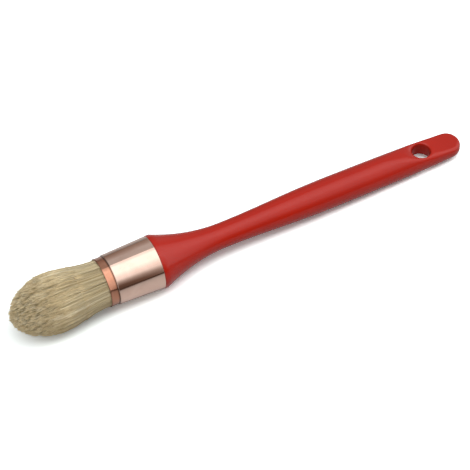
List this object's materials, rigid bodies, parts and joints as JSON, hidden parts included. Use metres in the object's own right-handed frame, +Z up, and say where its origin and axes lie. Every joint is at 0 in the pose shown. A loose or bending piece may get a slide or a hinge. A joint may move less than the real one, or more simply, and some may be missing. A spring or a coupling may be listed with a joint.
{
  "type": "round sash paintbrush",
  "caption": "Round trim paintbrush: a domed natural-bristle head in a stepped copper ferrule, on a slim red moulded handle with a hanging hole.",
  "frame": {"origin": "centre of the bottom of the brush's bounding box, under its axis and level with the underside of the bristle head's widest place", "axes": "X along the brush's axis with the bristle tip towards -X and the hanging end towards +X; +Z up, along the hanging hole"},
  "size_m": [0.294, 0.035, 0.035],
  "materials": {
    "handle_plastic": "satin",
    "sleeve_copper": "polished",
    "collar_copper": "polished",
    "plug_wood": "matte",
    "resin": "gloss",
    "bristle": "matte"
  },
  "bodies": {
    "brush": {"handle": "handle_plastic", "ferrule_sleeve": "sleeve_copper", "ferrule_collar": "collar_copper", "centre_plug": "plug_wood", "resin_setting": "resin"},
    "bristle_head": {"bristles_outer": "bristle", "bristles_middle": "bristle", "bristles_core": "bristle"}
  },
  "joints": [
    {"name": "bristle_bend", "type": "hinge", "parent": "brush", "child": "bristle_head", "pos_m": [-0.09, 0, 0.0175], "axis": [0, 0, 1], "range_deg": [-25, 25], "stiffness_Nm_per_rad": 0.8, "deforming": ["bristles_outer", "bristles_middle", "bristles_core"]}
  ]
}
